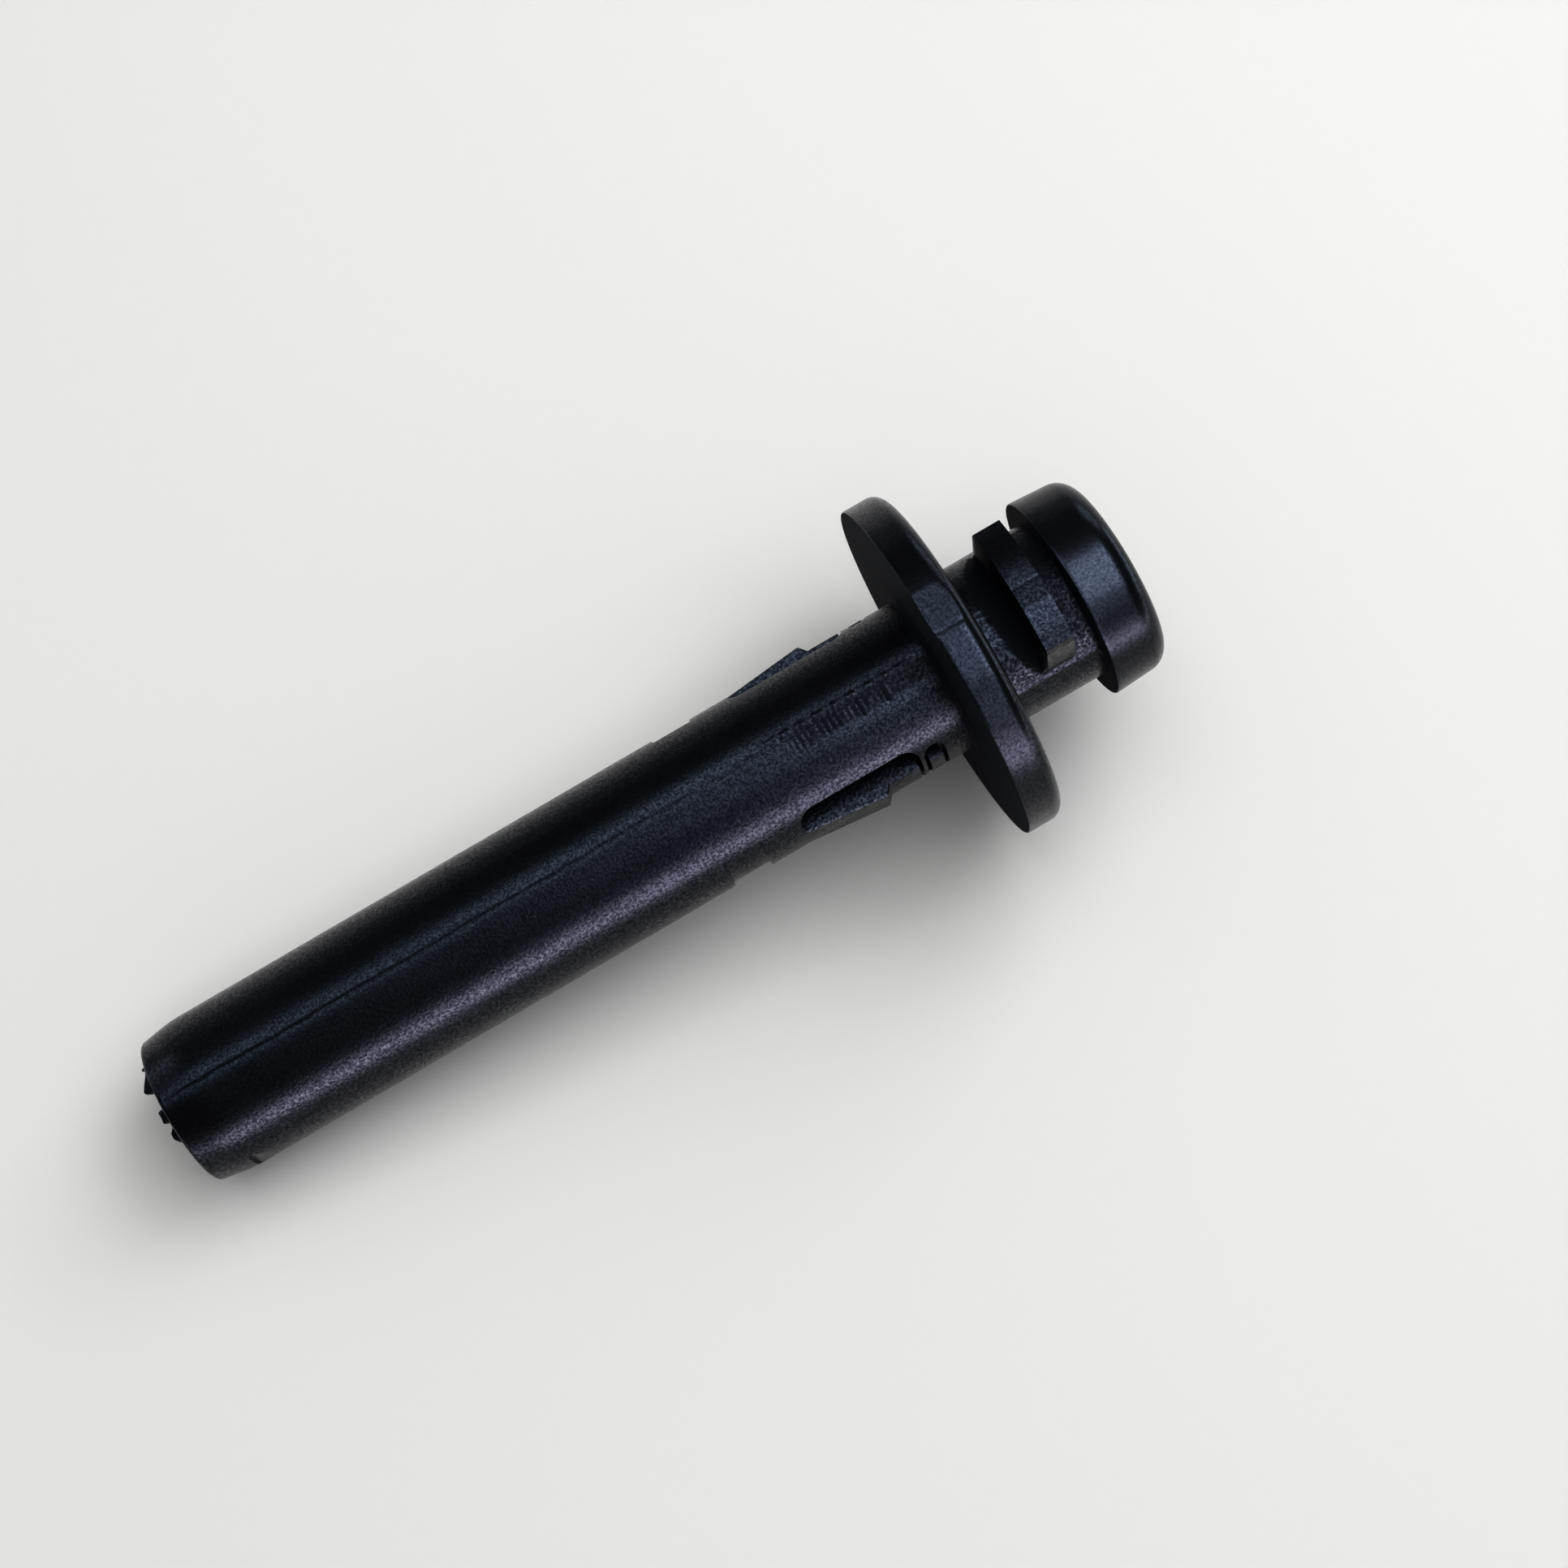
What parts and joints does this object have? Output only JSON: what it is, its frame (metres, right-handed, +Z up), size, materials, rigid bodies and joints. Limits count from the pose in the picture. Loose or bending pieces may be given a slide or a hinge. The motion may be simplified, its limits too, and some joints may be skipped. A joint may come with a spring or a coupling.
{
  "type": "parcel shelf clip",
  "caption": "Snap-in pin of black plastic: a hollow shank with spring tongues, a round flange, a neck with a locking lug, and a rounded head.",
  "frame": {"origin": "on the surface that the clip lies on, under the middle of its box", "axes": "+X along the lying pin, from its tip to its head; +Z up, with the pin's mirror plane in XZ"},
  "size_m": [0.0658, 0.0222, 0.0221],
  "materials": {
    "black_plastic": "satin, with a fine moulded grain"
  },
  "bodies": {
    "root": {"clip_body": "black_plastic"}
  },
  "joints": []
}
